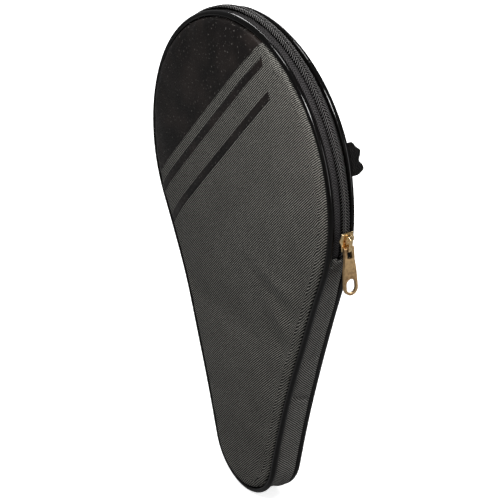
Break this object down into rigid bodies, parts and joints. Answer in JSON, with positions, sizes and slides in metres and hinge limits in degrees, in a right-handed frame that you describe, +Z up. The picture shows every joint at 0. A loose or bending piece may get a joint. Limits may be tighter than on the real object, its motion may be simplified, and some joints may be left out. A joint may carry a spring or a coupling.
{
  "type": "table tennis bat case",
  "caption": "Padded zipped case for a table-tennis bat: round head, narrow handle end, piped seams, zip around the head with a brass puller, hang loop at the back seam.",
  "frame": {"origin": "lowest point of the rounded handle end, midway between the front and back seams", "axes": "+Z up along the case from the handle end to the round head, +Y out of the back face, +X to the right seen from the front"},
  "size_m": [0.1923, 0.0314, 0.2966],
  "materials": {
    "front_fabric": "matte woven twill",
    "back_fabric": "matte woven twill",
    "band_fabric": "matte woven twill",
    "foam": "open-cell foam padding",
    "lining": "plain thin lining",
    "binding": "ribbed binding tape",
    "piping": "glossy vinyl sleeve",
    "cord": "filler cord",
    "zip_tape": "ribbed woven tape",
    "zip_coil": "satin nylon coil",
    "webbing": "woven webbing",
    "slider_metal": "polished with worn edges",
    "puller_metal": "antique satin face with brighter edges"
  },
  "bodies": {
    "case": {"back_panel": "back_fabric", "back_foam": "foam", "back_lining": "lining", "back_piping": "piping", "back_piping_cord": "cord", "back_seam_binding": "binding", "side_band": "band_fabric", "side_band_lining": "lining", "lower_front_panel": "front_fabric", "lower_front_foam": "foam", "lower_front_lining": "lining", "lower_front_piping": "piping", "lower_front_piping_cord": "cord", "lower_front_seam_binding": "binding", "zip_tape_back": "zip_tape", "zip_coil_back": "zip_coil", "loop_ends": "webbing"},
    "front_flap": {"flap_front_panel": "front_fabric", "flap_foam": "foam", "flap_lining": "lining", "flap_piping": "piping", "flap_piping_cord": "cord", "flap_seam_binding": "binding", "zip_tape_front": "zip_tape", "zip_coil_front": "zip_coil"},
    "slider": {"slider_body": "slider_metal"},
    "puller": {"puller": "puller_metal"},
    "hang_loop": {"hang_loop": "webbing"}
  },
  "joints": [
    {"name": "flap_open", "type": "hinge", "parent": "case", "child": "front_flap", "pos_m": [0, -0.0102, 0.1794], "axis": [1, 0, 0], "range_deg": [0, 110]},
    {"name": "slider_travel", "type": "hinge", "parent": "case", "child": "slider", "pos_m": [0, 0, 0.2028], "axis": [0, -1, 0], "range_deg": [0, 195]},
    {"name": "puller_swing", "type": "hinge", "parent": "slider", "child": "puller", "pos_m": [0.09542, 0.0002, 0.18711], "axis": [0, -1, 0], "range_deg": [-12, 124]},
    {"name": "loop_swing", "type": "hinge", "parent": "case", "child": "hang_loop", "pos_m": [0.0851, 0.01175, 0.2321], "axis": [-0.3256, 0, 0.9455], "range_deg": [-80, 80]}
  ]
}
